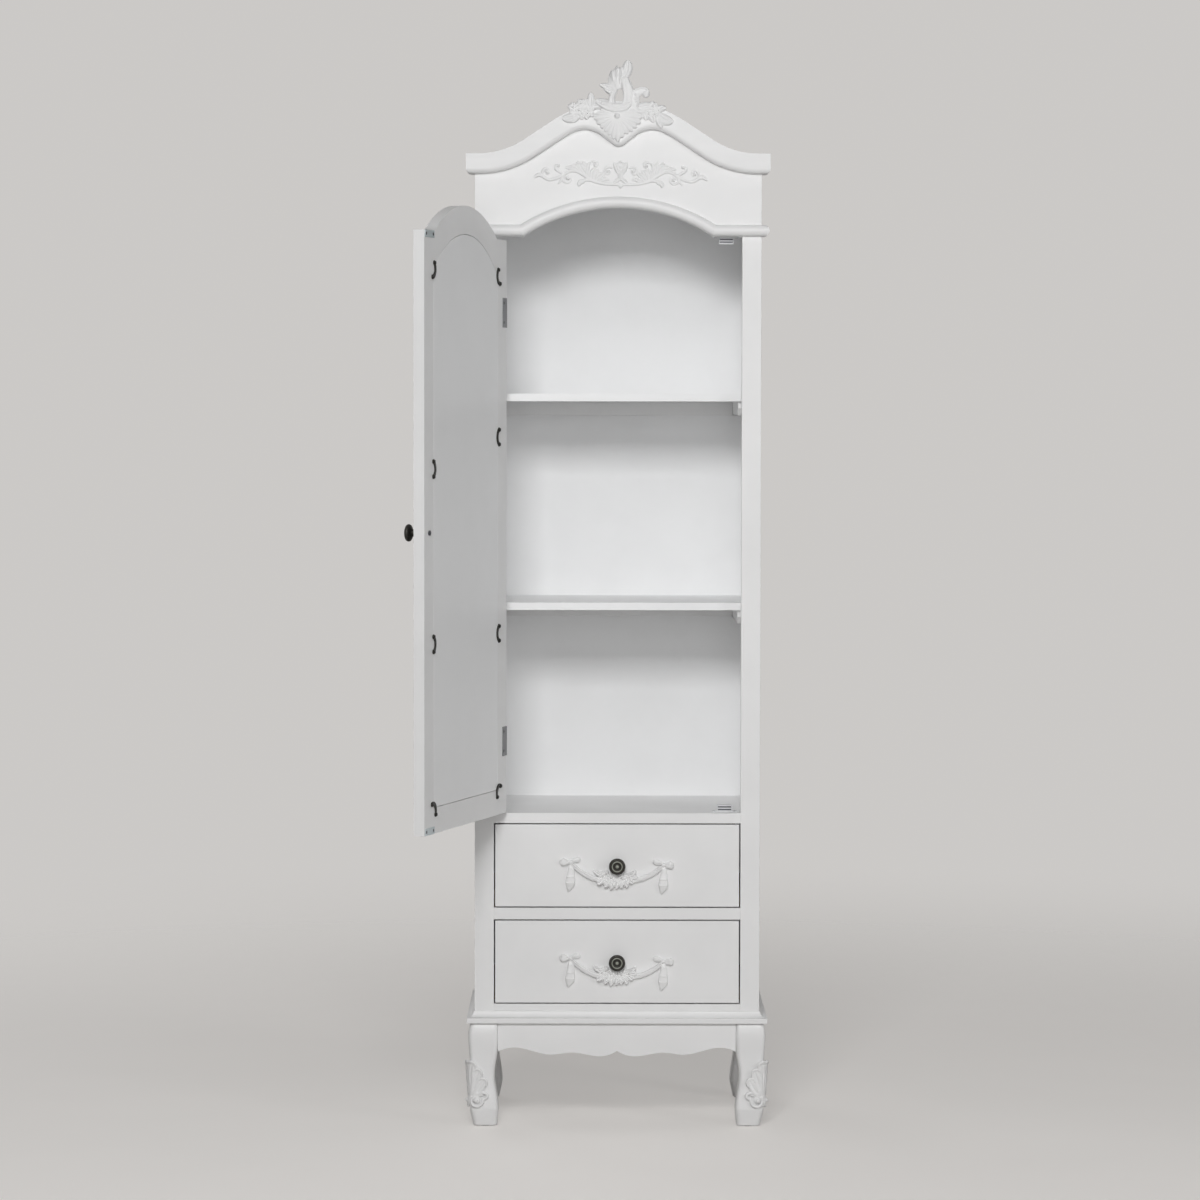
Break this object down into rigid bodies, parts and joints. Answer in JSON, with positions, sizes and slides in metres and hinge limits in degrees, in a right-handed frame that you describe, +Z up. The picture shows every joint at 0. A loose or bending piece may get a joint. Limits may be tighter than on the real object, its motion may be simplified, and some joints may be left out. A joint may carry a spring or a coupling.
{
  "type": "bonnetiere cabinet",
  "caption": "Tall narrow painted cabinet with an arched mirrored door over fixed shelves, inset drawers with swags, a carved crest and cabriole legs.",
  "frame": {"origin": "floor level, under the middle of the part's box as it stands at rest with its door open", "axes": "+Z up, +X to the viewer's right, +Y from the front to the back"},
  "size_m": [0.6653, 0.8168, 2],
  "materials": {
    "white_paint": "satin white paint on wood",
    "bare_wood": "bare pale wood",
    "dark_bronze": "antique dark bronze",
    "zinc_steel": "zinc plated",
    "mirror_glass": "silvered glass",
    "pale_plastic": "moulded",
    "dark_plastic": "moulded"
  },
  "bodies": {
    "cabinet": {"side_panel_left": "white_paint", "side_panel_right": "white_paint", "front_stile_left": "white_paint", "front_stile_right": "white_paint", "back_panel": "white_paint", "top_panel": "white_paint", "frieze_board": "white_paint", "cornice_front": "white_paint", "cornice_returns": "white_paint", "drip_moulding": "white_paint", "crest_carving": "white_paint", "frieze_carving": "white_paint", "frieze_corner_blocks": "white_paint", "compartment_floor": "white_paint", "drawer_rail": "white_paint", "base_panel": "white_paint", "plinth_board": "white_paint", "foot_glides": "dark_plastic", "knee_carvings": "white_paint", "shelf_upper": "white_paint", "shelf_lower": "white_paint", "shelf_cleats": "white_paint", "drawer_bearers": "bare_wood", "hinge_frame_leaves": "zinc_steel", "hinge_pins": "zinc_steel", "catch_housings": "pale_plastic", "catch_pole_plates": "zinc_steel", "frame_screws": "zinc_steel", "leg_front_left": "white_paint", "leg_front_right": "white_paint", "leg_rear_left": "white_paint", "leg_rear_right": "white_paint", "apron_front": "white_paint", "apron_back": "white_paint", "apron_sides": "white_paint"},
    "door": {"door_frame": "white_paint", "mirror_glass": "mirror_glass", "mirror_backing": "white_paint", "backing_clips": "dark_bronze", "clip_screws": "dark_bronze", "hinge_door_leaves": "zinc_steel", "strike_plates": "zinc_steel", "door_screws": "zinc_steel", "door_knob": "dark_bronze", "door_knob_screw": "zinc_steel"},
    "drawer_upper": {"upper_drawer_front": "white_paint", "upper_drawer_sides": "bare_wood", "upper_drawer_back": "bare_wood", "upper_drawer_bottom": "bare_wood", "upper_drawer_swag": "white_paint", "upper_drawer_knob": "dark_bronze", "upper_drawer_knob_screw": "zinc_steel"},
    "drawer_lower": {"lower_drawer_front": "white_paint", "lower_drawer_sides": "bare_wood", "lower_drawer_back": "bare_wood", "lower_drawer_bottom": "bare_wood", "lower_drawer_swag": "white_paint", "lower_drawer_knob": "dark_bronze", "lower_drawer_knob_screw": "zinc_steel"}
  },
  "joints": [
    {"name": "door_hinge", "type": "hinge", "parent": "cabinet", "child": "door", "pos_m": [-0.18743, 0.03944, 1.13085], "axis": [0, 0, -1], "range_deg": [-107, 63]},
    {"name": "drawer_upper_slide", "type": "slide", "parent": "cabinet", "child": "drawer_upper", "axis": [0, -1, 0], "range_m": [0, 0.23]},
    {"name": "drawer_lower_slide", "type": "slide", "parent": "cabinet", "child": "drawer_lower", "axis": [0, -1, 0], "range_m": [0, 0.23]}
  ]
}
